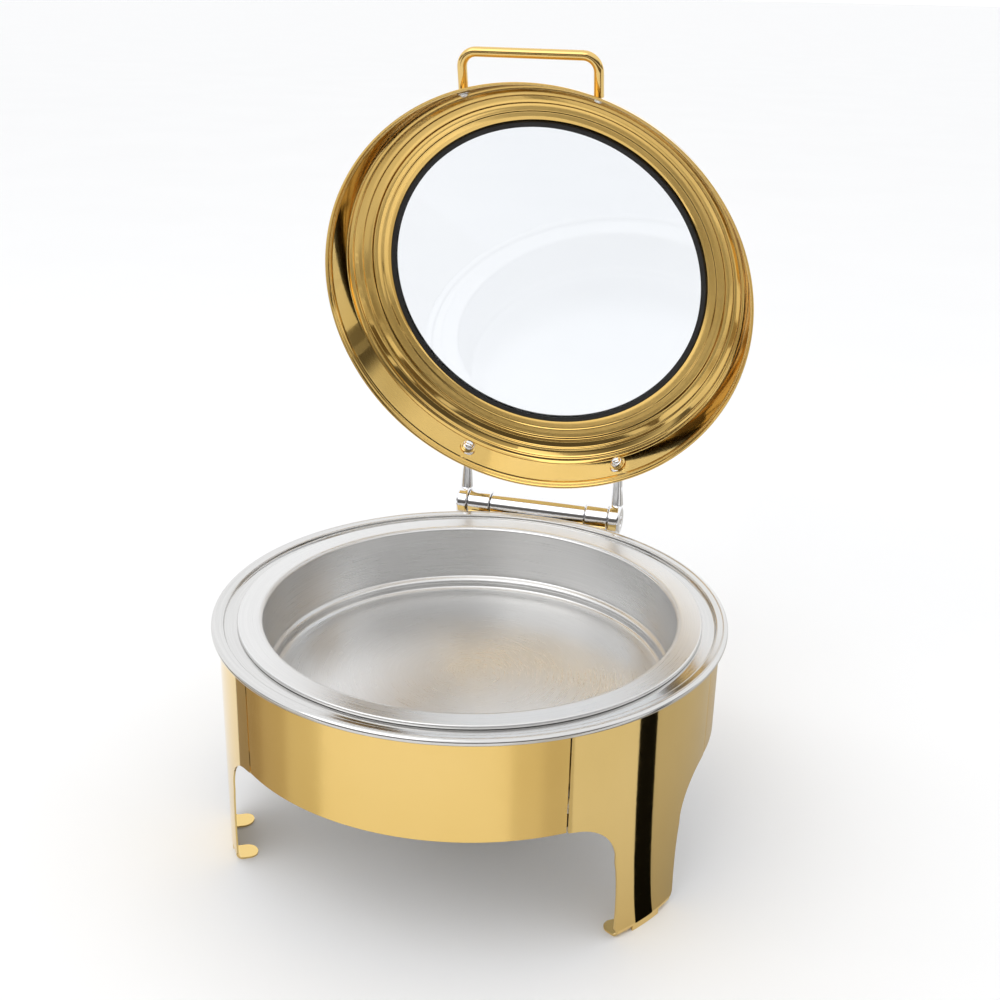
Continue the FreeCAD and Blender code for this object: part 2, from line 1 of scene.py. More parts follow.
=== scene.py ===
import json
import math
import bmesh
import bpy
from mathutils import Matrix, Vector


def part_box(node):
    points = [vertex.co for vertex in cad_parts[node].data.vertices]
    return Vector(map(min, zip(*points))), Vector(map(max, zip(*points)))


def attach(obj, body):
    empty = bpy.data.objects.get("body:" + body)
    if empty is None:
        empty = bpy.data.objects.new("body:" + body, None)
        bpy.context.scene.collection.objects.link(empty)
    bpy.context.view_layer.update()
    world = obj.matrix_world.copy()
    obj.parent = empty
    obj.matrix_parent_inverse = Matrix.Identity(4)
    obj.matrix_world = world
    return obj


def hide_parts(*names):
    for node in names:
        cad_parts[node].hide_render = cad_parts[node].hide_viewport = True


# A gold round chafing dish with an open glazed lid, on a pale studio floor.
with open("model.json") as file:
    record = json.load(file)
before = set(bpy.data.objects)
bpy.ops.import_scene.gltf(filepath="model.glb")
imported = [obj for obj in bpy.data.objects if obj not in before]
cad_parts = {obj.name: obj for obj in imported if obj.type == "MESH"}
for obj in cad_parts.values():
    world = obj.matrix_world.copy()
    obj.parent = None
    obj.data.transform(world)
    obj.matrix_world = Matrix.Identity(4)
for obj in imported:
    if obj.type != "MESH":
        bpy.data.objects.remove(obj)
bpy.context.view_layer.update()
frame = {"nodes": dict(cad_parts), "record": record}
JOINTS = {j["name"]: j for j in frame["record"]["behaviour"]["joints"]}
MM = 0.001

# ------------------------------------------------------------------ reference places
food_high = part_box("food_pan")[1]
skirt_low, skirt_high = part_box("skirt_front")
barrel_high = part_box("hinge_barrel")[1]
sleeve_low, sleeve_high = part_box("hinge_sleeve_right")
cap_low, cap_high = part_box("hinge_cap_right")
HINGE = Vector(JOINTS["lid_hinge"]["pos_m"])
OPEN = math.radians(-JOINTS["lid_hinge"]["range_deg"][0])
STAND_R = -skirt_low.y                # outer radius of the panels
SKIRT_Z = skirt_low.z
PLATE_TOP = skirt_high.z
LID_LEVEL = food_high.z - 3.0 * MM    # rim of the lid when it is closed
SWING = (Matrix.Translation(HINGE) @ Matrix.Rotation(-OPEN, 4, "X")
         @ Matrix.Translation(-HINGE))
SCENE = bpy.context.scene


# ------------------------------------------------------------------ mesh helpers
def rounded(points, radius, steps=4):
    """Outline with every corner replaced by a small curve."""
    out = []
    count = len(points)
    for i in range(count):
        p0 = Vector(points[i - 1])
        p1 = Vector(points[i])
        p2 = Vector(points[(i + 1) % count])
        if p1.x < 1e-6:
            out.append(p1)
            continue
        a = p0 - p1
        b = p2 - p1
        reach = min(radius, a.length * 0.42, b.length * 0.42)
        start = p1 + a.normalized() * reach
        end = p1 + b.normalized() * reach
        for k in range(steps + 1):
            t = k / steps
            out.append(start * (1 - t) ** 2 + p1 * 2 * t * (1 - t) + end * t * t)
    return out


def finish_mesh(name, bm, body, nodes, material, sharp=40):
    """Smooth object from a mesh, riding on its body in place of its CAD nodes."""
    bmesh.ops.recalc_face_normals(bm, faces=bm.faces)
    mesh = bpy.data.meshes.new(name)
    bm.to_mesh(mesh)
    bm.free()
    for face in mesh.polygons:
        face.use_smooth = True
    mesh.set_sharp_from_angle(angle=math.radians(sharp))
    mesh.materials.append(material)
    obj = bpy.data.objects.new(name, mesh)
    SCENE.collection.objects.link(obj)
    weighted = obj.modifiers.new("weighted", "WEIGHTED_NORMAL")
    weighted.keep_sharp = True
    weighted.weight = 60
    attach(obj, body)
    if nodes:
        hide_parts(*nodes)
    return obj


def lathe_into(bm, profile, place, segments):
    """Adds one turned solid; points on the axis become a single pole."""
    rings = []
    for k in range(segments):
        a = 2 * math.pi * k / segments
        ring = []
        for p in profile:
            if p.x < 1e-6:
                ring.append(None)
                continue
            ring.append(bm.verts.new(place @ Vector((p.x * math.cos(a), p.x * math.sin(a), p.y))))
        rings.append(ring)
    poles = {i: bm.verts.new(place @ Vector((0, 0, p.y))) for i, p in enumerate(profile)
             if p.x < 1e-6}
    count = len(profile)
    for k in range(segments):
        here = rings[k]
        there = rings[(k + 1) % segments]
        for i in range(count):
            j = (i + 1) % count
            quad = [here[i] or poles[i], here[j] or poles[j],
                    there[j] or poles[j], there[i] or poles[i]]
            unique = []
            for v in quad:
                if v not in unique:
                    unique.append(v)
            if len(unique) > 2:
                bm.faces.new(unique)


def lathe(name, points, body, nodes, material, place=None, radius=0.5, segments=224,
          more=()):
    """Turned piece from an outline in millimetres of (radius, height) pairs."""
    bm = bmesh.new()
    for outline, spot in [(points, place or Matrix.Identity(4))] + list(more):
        profile = rounded([(r * MM, z * MM) for r, z in outline], radius * MM)
        lathe_into(bm, profile, spot, segments)
    return finish_mesh(name, bm, body, nodes, material)


def along_x(x):
    """Places a turned piece on the hinge line, its own +Z along +X."""
    return Matrix.Translation(Vector((x, HINGE.y, HINGE.z))) @ Matrix.Rotation(math.pi / 2, 4, "Y")


# ------------------------------------------------------------------ node helpers
class Nodes:
    """Short way to add shader nodes and join them."""

    def __init__(self, name):
        self.material = bpy.data.materials.new(name)
        self.material.use_nodes = True
        self.tree = self.material.node_tree
        self.bsdf = self.tree.nodes["Principled BSDF"]

    def add(self, kind, **values):
        node = self.tree.nodes.new(kind)
        for key, value in values.items():
            if hasattr(node, key) and key not in node.inputs:
                setattr(node, key, value)
            else:
                node.inputs[key].default_value = value
        return node

    def join(self, source, target):
        self.tree.links.new(source, target)

    def math(self, operation, a, b=None):
        node = self.add("ShaderNodeMath", operation=operation)
        for i, v in enumerate((a, b)):
            if v is None:
                continue
            if isinstance(v, (int, float)):
                node.inputs[i].default_value = v
            else:
                self.join(v, node.inputs[i])
        return node.outputs[0]

    def ramp(self, source, low, high, out_low, out_high):
        node = self.add("ShaderNodeMapRange")
        node.inputs["From Min"].default_value = low
        node.inputs["From Max"].default_value = high
        node.inputs["To Min"].default_value = out_low
        node.inputs["To Max"].default_value = out_high
        self.join(source, node.inputs["Value"])
        return node.outputs["Result"]

    def noise(self, scale, detail=4.0, rough=0.55, vector=None):
        node = self.add("ShaderNodeTexNoise")
        node.inputs["Scale"].default_value = scale
        node.inputs["Detail"].default_value = detail
        node.inputs["Roughness"].default_value = rough
        self.join(vector or self.place(), node.inputs["Vector"])
        return node.outputs["Fac"]

    def place(self):
        if not hasattr(self, "coords"):
            self.coords = self.add("ShaderNodeTexCoord")
        return self.coords.outputs["Object"]

    def mix(self, factor, a, b):
        node = self.add("ShaderNodeMix", data_type="RGBA")
        for socket, v in ((node.inputs[0], factor), (node.inputs[6], a), (node.inputs[7], b)):
            if hasattr(v, "is_output"):
                self.join(v, socket)
            elif isinstance(v, (int, float)):
                socket.default_value = v
            else:
                socket.default_value = (*v, 1.0)
        return node.outputs[2]

    def bump(self, height, strength, distance):
        node = self.add("ShaderNodeBump", Strength=strength, Distance=distance)
        self.join(height, node.inputs["Height"])
        if hasattr(self, "last_bump"):
            self.join(self.last_bump, node.inputs["Normal"])
        self.last_bump = node.outputs["Normal"]
        self.join(self.last_bump, self.bsdf.inputs["Normal"])


def polished(name, color, tint, rough, wave=0.12, smudge=0.05, grain=0.0):
    """Plated or polished sheet: slow waviness, faint smears and wipe marks, fine scratches."""
    n = Nodes(name)
    cloud = n.noise(9.0, 3.0)
    smear = n.noise(38.0, 6.0, 0.7)
    n.join(n.mix(n.ramp(cloud, 0.3, 0.7, 0.0, 1.0), color, tint), n.bsdf.inputs["Base Color"])
    n.bsdf.inputs["Metallic"].default_value = 1.0
    fine = n.noise(420.0, 2.0, 0.6)
    total = n.math("ADD", n.ramp(smear, 0.35, 0.75, rough, rough + smudge),
                   n.ramp(fine, 0.3, 0.8, 0.0, 0.02 + grain * 0.2))
    n.join(total, n.bsdf.inputs["Roughness"])
    n.bump(n.noise(14.0, 1.0), wave, 0.0006)
    n.bump(fine, 0.03 + grain, 0.0002)
    return n.material


def turned_brush(name, color, tint, rough, lines, strength):
    """Metal brushed in circles about the dish's axis, as a lathe or a spinning pad leaves it."""
    n = Nodes(name)
    split = n.add("ShaderNodeSeparateXYZ")
    n.join(n.place(), split.inputs[0])
    x = split.outputs[0]
    y = split.outputs[1]
    far = n.math("SQRT", n.math("ADD", n.math("MULTIPLY", x, x), n.math("MULTIPLY", y, y)))
    turn = n.math("ARCTAN2", y, x)
    both = n.add("ShaderNodeCombineXYZ")
    n.join(n.math("MULTIPLY", far, lines), both.inputs[0])
    n.join(n.math("MULTIPLY", turn, 2.2), both.inputs[1])
    n.join(n.math("MULTIPLY", split.outputs[2], lines), both.inputs[2])
    hair = n.noise(1.0, 5.0, 0.65, both.outputs[0])
    cloud = n.noise(12.0, 3.0)
    n.join(n.mix(n.ramp(hair, 0.3, 0.7, 0.0, 1.0), color, tint), n.bsdf.inputs["Base Color"])
    n.bsdf.inputs["Metallic"].default_value = 1.0
    n.join(n.math("ADD", n.ramp(hair, 0.25, 0.75, rough, rough + 0.14),
                  n.ramp(cloud, 0.3, 0.7, 0.0, 0.06)), n.bsdf.inputs["Roughness"])
    n.bump(hair, strength, 0.0002)
    return n.material


def rubber(name):
    n = Nodes(name)
    fine = n.noise(600.0, 4.0)
    dust = n.noise(30.0, 5.0, 0.7)
    n.join(n.mix(n.ramp(dust, 0.45, 0.8, 0.0, 0.5), (0.008, 0.008, 0.009), (0.03, 0.03, 0.031)),
           n.bsdf.inputs["Base Color"])
    n.join(n.ramp(fine, 0.3, 0.7, 0.4, 0.6), n.bsdf.inputs["Roughness"])
    n.bump(fine, 0.15, 0.0002)
    return n.material


def window(name):
    """Clear toughened glass with a trace of green-blue and faint wipe marks."""
    n = Nodes(name)
    smear = n.noise(16.0, 7.0, 0.75)
    cloud = n.noise(4.0, 2.0)
    n.join(n.mix(n.ramp(cloud, 0.3, 0.7, 0.0, 1.0), (0.90, 0.925, 0.955), (0.93, 0.95, 0.972)),
           n.bsdf.inputs["Base Color"])
    n.join(n.ramp(smear, 0.4, 0.75, 0.0, 0.05), n.bsdf.inputs["Roughness"])
    n.bsdf.inputs["IOR"].default_value = 1.46
    n.bsdf.inputs["Transmission Weight"].default_value = 1.0
    n.bump(n.noise(7.0, 1.0), 0.03, 0.0005)
    return n.material


def lacquer(name, color, tint):
    n = Nodes(name)
    cloud = n.noise(20.0, 5.0)
    n.join(n.mix(n.ramp(cloud, 0.35, 0.7, 0.0, 1.0), color, tint), n.bsdf.inputs["Base Color"])
    n.bsdf.inputs["Metallic"].default_value = 0.6
    n.join(n.ramp(n.noise(120.0, 4.0), 0.3, 0.7, 0.28, 0.42), n.bsdf.inputs["Roughness"])
    n.bump(n.noise(300.0, 3.0), 0.08, 0.0002)
    return n.material


SKIRT = polished("skirt_gold", (0.80, 0.555, 0.185), (0.83, 0.585, 0.21), 0.17, 0.10, 0.06, 0.05)
LEG = polished("leg_gold", (0.77, 0.555, 0.21), (0.80, 0.585, 0.235), 0.035, 0.10, 0.03)
LID = polished("lid_gold", (0.66, 0.43, 0.125), (0.72, 0.49, 0.165), 0.045, 0.16, 0.04)
HANDLE = polished("handle_gold", (0.72, 0.49, 0.17), (0.77, 0.55, 0.21), 0.06, 0.10, 0.05)
BRACKET = polished("bracket_gold", (0.72, 0.50, 0.20), (0.78, 0.57, 0.25), 0.16, 0.15, 0.08)
CHROME = polished("hinge_chrome", (0.82, 0.82, 0.84), (0.88, 0.88, 0.89), 0.04, 0.08, 0.05)
SCREW = polished("screw_steel", (0.70, 0.70, 0.71), (0.80, 0.80, 0.81), 0.16, 0.1, 0.1, 0.1)
RIVET = polished("rivet_steel", (0.60, 0.60, 0.60), (0.68, 0.68, 0.68), 0.25, 0.1, 0.1, 0.1)
SHAFT = polished("shaft_steel", (0.55, 0.55, 0.56), (0.62, 0.62, 0.62), 0.2, 0.1, 0.1, 0.1)
# The hoops are made near-black as painted shade, so the seam gaps between the panels in front of them
# read as dark shadow lines.
HOOP_PAINTED_SHADE = polished("hoop_steel", (0.05, 0.048, 0.045), (0.08, 0.076, 0.07), 0.4, 0.1, 0.1, 0.1)
WATER = turned_brush("water_pan_steel", (0.62, 0.615, 0.605), (0.70, 0.695, 0.685), 0.06, 900.0, 0.05)
FOOD = turned_brush("food_pan_steel", (0.70, 0.697, 0.69), (0.78, 0.777, 0.77), 0.21, 1500.0, 0.14)
BURNER = turned_brush("burner_steel", (0.62, 0.62, 0.61), (0.72, 0.72, 0.71), 0.2, 1200.0, 0.15)
GASKET = rubber("gasket_rubber")
GLASS = window("lid_glass")
CAN = lacquer("can_paint", (0.62, 0.64, 0.67), (0.70, 0.71, 0.73))
BY_SLOT = {"skirt_gold": SKIRT, "leg_gold": LEG, "lid_gold": LID, "handle_gold": HANDLE,
           "bracket_gold": BRACKET, "hinge_chrome": CHROME, "screw_steel": SCREW,
           "rivet_steel": RIVET, "shaft_steel": SHAFT, "hoop_steel": HOOP_PAINTED_SHADE,
           "water_pan_steel": WATER, "food_pan_steel": FOOD, "burner_steel": BURNER,
           "gasket_rubber": GASKET, "lid_glass": GLASS, "can_paint": CAN}
SLOT_OF = {s["node"]: s["material_slot"] for s in frame["record"]["subparts"]}
for node, obj in frame["nodes"].items():
    obj.data.materials.clear()
    obj.data.materials.append(BY_SLOT[SLOT_OF[node]])

# ------------------------------------------------------------------ stand panels
PLATE = 1.5 * MM                      # sheet of the panels and legs


def plate_mesh(bm, rows, columns, middle):
    """Curved plate on the stand's cylinder; rows are (left, right, height) of its edges."""
    layers = []
    for radius in (STAND_R, STAND_R - PLATE):
        grid = []
        for left, right, z in rows:
            line = []
            for c in range(columns + 1):
                a = middle + (left + (right - left) * c / columns) / STAND_R
                line.append(bm.verts.new((radius * math.cos(a), radius * math.sin(a), z)))
            grid.append(line)
        layers.append(grid)
    outer, back = layers
    last = len(rows) - 1
    for i in range(last):
        for c in range(columns):
            for g in (outer, back):
                bm.faces.new((g[i][c], g[i][c + 1], g[i + 1][c + 1], g[i + 1][c]))
        for c in (0, columns):
            bm.faces.new((outer[i][c], outer[i + 1][c], back[i + 1][c], back[i][c]))
    for i in (0, last):
        for c in range(columns):
            bm.faces.new((outer[i][c], outer[i][c + 1], back[i][c + 1], back[i][c]))


def soften(obj, width):
    """Small bevel on the cut edges, put before the normals are weighted."""
    bevel = obj.modifiers.new("edge", "BEVEL")
    bevel.width = width
    bevel.segments = 2
    bevel.limit_method = "ANGLE"
    bevel.angle_limit = math.radians(50)
    order = obj.modifiers
    order.move(len(order) - 1, 0)


HALF_SKIRT = STAND_R * math.radians(37.28)
for name, middle in (("skirt_front", -90), ("skirt_right", 30), ("skirt_left", 150)):
    bm = bmesh.new()
    heights = [SKIRT_Z + (PLATE_TOP - SKIRT_Z) * k / 6 for k in range(7)]
    plate_mesh(bm, [(-HALF_SKIRT, HALF_SKIRT, z) for z in heights], 96, math.radians(middle))
    panel = finish_mesh(name + "_panel", bm, "stand", [name], SKIRT, 50)
    soften(panel, 0.35 * MM)


def leg_rows():
    """Edges of a leg from the foot up: shank, two concave curves, then the full width."""
    half = [(15.8, 0.0), (15.9, 5.6), (31.5, 5.9), (34.0, 7.5), (35.6, 11.0), (35.4, 20.0),
            (35.2, 30.0), (35.4, 42.0), (36.0, 54.0), (37.2, 66.0), (38.6, 74.0)]
    radius = 41.0
    middle = (38.0 + radius, 73.5)
    for k in range(2, 15):
        a = math.radians(180 - 6.2 * k)
        half.append((middle[0] + radius * math.cos(a), middle[1] + radius * math.sin(a)))
    full = STAND_R / MM * math.radians(22.45)
    half.append((full - 0.5, SKIRT_Z / MM - 0.6))
    half += [(full, SKIRT_Z / MM + 1.0), (full, 145.0), (full, 175.0), (full, PLATE_TOP / MM)]
    return [(-w * MM, w * MM, z * MM) for w, z in half]


def tab_mesh(bm, middle, offset):
    """Foot tab: bends out of the plate on to the table and ends in a half circle."""
    bend = 6.0 * MM
    path = []
    for k in range(13):
        a = math.radians(90 * k / 12)
        path.append((bend - bend * math.cos(a), bend - bend * math.sin(a), 1.0))
    flat = 14.0 * MM
    for k in range(1, 15):
        s = flat * k / 14
        tail = max(0.0, (s - flat + 9.0 * MM) / (9.0 * MM))
        path.append((bend + s, 0.0, math.sqrt(max(0.0, 1.0 - min(tail, 0.999) ** 2))))
    width = 9.0 * MM
    columns = 10
    layers = []
    for side in (0, 1):
        grid = []
        for k, (inward, up, share) in enumerate(path):
            a = math.radians(min(90, 90 * k / 12))
            shift = Vector((math.cos(a), math.sin(a))) * PLATE * side
            line = []
            for c in range(columns + 1):
                v = offset + width * share * (2 * c / columns - 1)
                radial = math.sqrt(STAND_R ** 2 - v ** 2) - inward - shift.x
                p = Matrix.Rotation(middle, 3, "Z") @ Vector((radial, v, up + shift.y))
                line.append(bm.verts.new(p))
            grid.append(line)
        layers.append(grid)
    low, high = layers
    last = len(path) - 1
    for i in range(last):
        for c in range(columns):
            for g in (low, high):
                bm.faces.new((g[i][c], g[i][c + 1], g[i + 1][c + 1], g[i + 1][c]))
        for c in (0, columns):
            bm.faces.new((low[i][c], low[i + 1][c], high[i + 1][c], high[i][c]))
    for i in (0, last):
        for c in range(columns):
            bm.faces.new((low[i][c], low[i][c + 1], high[i][c + 1], high[i][c]))


for name, middle in (("leg_front_left", -150), ("leg_front_right", -30), ("leg_back", 90)):
    bm = bmesh.new()
    plate_mesh(bm, leg_rows(), 72, math.radians(middle))
    for offset in (-23.0, 23.0):
        tab_mesh(bm, math.radians(middle), offset * MM)
    leg = finish_mesh(name + "_plate", bm, "stand", [name], LEG, 50)
    soften(leg, 0.3 * MM)

# ------------------------------------------------------------------ pans
water_outline = [
    (213.4, 199.2), (215.9, 199.8), (217.0, 201.6), (216.9, 203.4), (215.6, 205.0),
    (213.8, 205.4), (212.4, 204.8), (208.0, 204.4), (206.8, 203.8), (206.4, 201.2),
    (193.0, 201.0), (191.0, 199.8), (191.0, 126.0), (187.0, 122.2), (182.0, 121.0),
    (0.0, 121.0), (0.0, 119.8), (182.0, 119.8), (187.6, 121.2), (192.2, 125.6),
    (192.2, 199.2), (193.6, 199.8), (207.4, 199.9), (207.9, 203.0), (212.6, 203.4),
]
lathe("water_pan_bowl", water_outline, "stand", ["water_pan"], WATER,
      radius=1.0)
food_outline = [
    (195.6, 201.4), (195.8, 203.4), (195.0, 204.6), (178.0, 204.0), (175.6, 203.2),
    (174.4, 201.6), (173.6, 156.0), (173.4, 153.0), (170.0, 150.6), (168.8, 148.0),
    (169.6, 145.4), (169.2, 143.4), (166.5, 141.4), (162.0, 140.6), (0.0, 140.6),
    (0.0, 139.4), (162.4, 139.4), (167.8, 140.6), (170.8, 142.9), (171.0, 145.6),
    (170.2, 148.0), (171.2, 149.6), (174.8, 152.2), (174.9, 156.0), (175.7, 201.2),
    (178.4, 202.7), (194.0, 203.2), (194.4, 201.4),
]
lathe("food_pan_bowl", food_outline, "stand", ["food_pan"], FOOD, radius=1.6)

# ------------------------------------------------------------------ lid
BASE = LID_LEVEL / MM
WALL_OUT = 196.4                      # outer radius at the foot of the lid's straight wall
WALL_IN = 195.2
WALL_FROM = 12.0                      # height where the straight wall starts
WALL_SLOPE = 0.312
FIX = 21.0                            # height of everything that is fixed to the wall


def lift(points):
    return [(r, BASE + z) for r, z in points]


# Outer face from the rim to the glass, then the inner face from the glass to the rim. The
# inner face repeats the pressed steps of the outer one a sheet's thickness away.
shell_steps = [
    (200.3, 1.9), (198.9, 3.0), (198.5, 5.0), (197.5, 6.2), (197.3, 9.0), (196.3, 12.2),
    (190.8, 30.0), (188.9, 33.0), (186.7, 33.9), (185.6, 36.0), (181.8, 38.9), (178.9, 40.1),
    (178.1, 41.7), (173.6, 43.9), (170.9, 44.8), (169.9, 47.3), (166.6, 48.3), (162.5, 49.1),
    (161.3, 50.4), (155.6, 51.5), (152.6, 51.6),
]
sheet_steps = [(r - 0.9, z - 0.95) for r, z in shell_steps[1:-2]]
shell_outline = lift([(200.4, 0.0)] + shell_steps + [(152.6, 50.5), (155.4, 50.4)]
                     + list(reversed(sheet_steps)) + [(197.8, 1.6), (198.8, 0.3)])
lathe("lid_dome", shell_outline, "lid", ["lid_shell"], LID, SWING, 0.9)
gasket_outline = lift([
    (155.0, 51.9), (155.0, 53.0), (152.8, 54.6), (148.0, 54.8), (147.0, 54.2), (147.0, 53.5),
    (149.3, 53.5), (149.3, 48.9), (147.0, 48.9), (147.0, 48.2), (148.0, 47.6), (151.4, 47.6),
    (152.3, 48.4), (152.3, 51.9),
])
lathe("lid_gasket", gasket_outline, "lid", ["glass_gasket"], GASKET, SWING)
glass_outline = lift([(0.0, 49.2), (149.0, 49.2), (149.0, 53.2), (0.0, 53.2)])
lathe("lid_pane", glass_outline, "lid", ["lid_glass"], GLASS, SWING, 0.6)


# ------------------------------------------------------------------ handle
def sweep(bm, path, radius, sides=28):
    """Round bar along a list of points, with closed ends."""
    rings = []
    for i, p in enumerate(path):
        ahead = path[min(i + 1, len(path) - 1)] - path[max(i - 1, 0)]
        ahead.normalize()
        up = (SWING.to_3x3() @ Vector((0, 0, 1))).normalized()
        side = ahead.cross(up).normalized()
        rings.append([bm.verts.new(p + (side * math.cos(t) + up * math.sin(t)) * radius)
                      for t in (2 * math.pi * k / sides for k in range(sides))])
    for a, b in zip(rings, rings[1:]):
        for k in range(sides):
            j = (k + 1) % sides
            bm.faces.new((a[k], a[j], b[j], b[k]))
    bm.faces.new(rings[0])
    bm.faces.new(rings[-1])


SPAN = 59.0                           # from the middle to each leg of the handle
REACH = 218.0                         # from the lid's axis to the bar
BEND = 13.0
ROD = 4.2
wall_at = WALL_OUT - (FIX - WALL_FROM) * WALL_SLOPE
foot_y = math.sqrt(wall_at ** 2 - SPAN ** 2)
points = [Vector((-SPAN, -foot_y - 0.1, 0)), Vector((-SPAN, -(REACH - BEND), 0))]
for k in range(1, 13):
    a = math.radians(90 * k / 12)
    points.append(Vector((-SPAN + BEND - BEND * math.cos(a),
                          -(REACH - BEND) - BEND * math.sin(a), 0)))
points += [Vector((-p.x, p.y, 0)) for p in reversed(points)]
path = [SWING @ Vector((p.x * MM, p.y * MM, LID_LEVEL + FIX * MM)) for p in points]
bm = bmesh.new()
sweep(bm, path, ROD * MM)
finish_mesh("handle_bar", bm, "lid", ["lid_handle"], HANDLE)


# ------------------------------------------------------------------ lid fixings
def wall_inside(x, front, clear):
    """Place on the inner wall of the lid, +Z pointing into the lid."""
    radius = WALL_IN - (FIX - WALL_FROM) * WALL_SLOPE
    y = math.sqrt(radius ** 2 - x ** 2) * (-1 if front else 1)
    normal = Vector((-x / radius, -y / radius, -WALL_SLOPE)).normalized()
    spot = Vector((x, y, BASE + FIX)) + normal * clear
    turn = normal.to_track_quat("Z", "Y").to_matrix().to_4x4()
    return SWING @ Matrix.Translation(spot * MM) @ turn


def pair(name, outline, places, body, node, material, radius=0.4, segments=48):
    """The same small turned piece at every given place, as one object."""
    more = [(outline, p) for p in places[1:]]
    return lathe(name, outline, body, [node], material, places[0], radius, segments,
                 more)


screw_head = [(0.0, 0.0), (4.2, 0.0), (4.2, 0.7), (3.6, 1.7), (2.3, 2.4), (1.5, 2.5),
              (1.2, 1.3), (0.0, 1.2)]
washer = [(2.4, 0.0), (5.8, 0.0), (5.8, 1.0), (2.4, 1.0)]
pair("handle_screw_heads", screw_head, [wall_inside(s * SPAN, True, 1.17) for s in (-1, 1)],
     "lid", "handle_screws", SCREW)
pair("handle_washer_rings", washer, [wall_inside(s * SPAN, True, 0.15) for s in (-1, 1)],
     "lid", "handle_washers", SCREW)
ARM_X = (cap_low.x + cap_high.x) / 2 / MM
ARM_FOOT_X = ARM_X * 0.985            # the arms lean in a little towards the lid
dome_nut = [(0.0, 0.0), (5.8, 0.0), (6.0, 0.6), (6.0, 3.0), (5.5, 3.6), (4.8, 3.7), (4.6, 4.9),
            (3.6, 6.0), (1.8, 6.4), (0.0, 6.5)]
arm_washer = [(2.6, 0.0), (8.0, 0.0), (8.0, 1.2), (2.6, 1.2)]
pair("arm_dome_nuts", dome_nut, [wall_inside(s * ARM_FOOT_X, False, 1.47) for s in (-1, 1)],
     "lid", "hinge_arm_nuts", CHROME)
pair("arm_washer_rings", arm_washer, [wall_inside(s * ARM_FOOT_X, False, 0.25)
                                      for s in (-1, 1)],
     "lid", "hinge_arm_washers", HANDLE)

# ------------------------------------------------------------------ hinge
half = barrel_high.x / MM
tube = [(5.1, 0.0), (11.2, 0.0), (12.2, 0.9), (12.2, 2 * half - 0.9), (11.2, 2 * half),
        (5.1, 2 * half)]
lathe("barrel_tube", tube, "stand", ["hinge_barrel"], CHROME, along_x(-half * MM),
      0.5, 96)
long = (sleeve_high.x - sleeve_low.x) / MM
sleeve = [(5.1, 0.0), (12.6, 0.0), (13.6, 1.0), (13.6, long - 1.0), (12.6, long), (5.1, long)]
lathe("sleeve_tube_right", sleeve, "stand", ["hinge_sleeve_right"], CHROME,
      along_x(sleeve_low.x), 0.5, 96)
lathe("sleeve_tube_left", sleeve, "stand", ["hinge_sleeve_left"], CHROME,
      along_x(-sleeve_high.x), 0.5, 96)
deep = (cap_high.x - cap_low.x) / MM
cap = [(5.05, 0.0), (13.8, 0.0), (15.0, 1.2), (15.0, deep - 2.2), (13.9, deep - 0.5),
       (12.0, deep), (6.4, deep), (5.6, deep - 0.8), (5.05, deep - 0.9)]
flipped = Matrix.Rotation(math.pi, 4, "Y")
lathe("end_cap_right", cap, "lid", ["hinge_cap_right"], CHROME,
      along_x(cap_low.x), 0.5, 96)
lathe("end_cap_left", cap, "lid", ["hinge_cap_left"], CHROME,
      along_x(-cap_low.x) @ flipped, 0.5, 96)
screw_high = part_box("hinge_cap_screws")[1]
end_screw = [(0.0, 0.0), (4.6, 0.0), (4.6, 1.7), (4.0, 2.5), (2.4, 2.6), (2.2, 1.4), (0.0, 1.3)]
start = screw_high.x - 2.6 * MM
pair("end_screws", end_screw, [along_x(start), along_x(-start) @ flipped], "lid",
     "hinge_cap_screws", SCREW)

for side, name in ((-1, "left"), (1, "right")):
    radius = WALL_IN - (FIX - WALL_FROM) * WALL_SLOPE
    x = side * ARM_FOOT_X
    target = Vector((x, math.sqrt(radius ** 2 - x ** 2), BASE + FIX))
    source = Vector((side * ARM_X, HINGE.y / MM, HINGE.z / MM + 6.0))
    line = target - source
    length = line.length
    axis = line.normalized()
    first = 12.4
    end = length - 3.4
    arm = [(0.0, first), (6.3, first), (6.1, first + 3), (4.9, length * 0.60),
           (4.8, length - 15.0), (6.0, length - 12.0), (7.6, length - 7.5), (8.0, end),
           (0.0, end)]
    place = (SWING @ Matrix.Translation(source * MM)
             @ axis.to_track_quat("Z", "Y").to_matrix().to_4x4())
    lathe("arm_" + name, arm, "lid", ["hinge_arm_" + name], CHROME, place, 1.4, 64)

# ------------------------------------------------------------------ fuel holder
cup_outline = [(0.0, 0.0), (38.0, 0.0), (40.0, 2.0), (40.0, 12.0), (39.3, 13.0), (40.0, 14.0),
               (40.0, 40.5), (39.4, 42.0), (38.8, 40.5), (38.8, 2.6), (37.6, 1.2), (0.0, 1.2)]
lathe("fuel_cup_turned", cup_outline, "fuel_holder", ["fuel_cup"], BURNER,
      radius=0.7, segments=96)
can_outline = [(0.0, 1.4), (35.6, 1.4), (36.4, 2.4), (36.4, 37.0), (35.0, 38.8),
               (33.0, 39.0), (31.6, 37.6), (24.6, 37.6), (24.0, 36.8), (23.6, 34.0),
               (0.0, 34.0)]
lathe("fuel_can_turned", can_outline, "fuel_holder", ["fuel_can", "fuel_can_collar"],
      CAN, radius=0.6, segments=96)

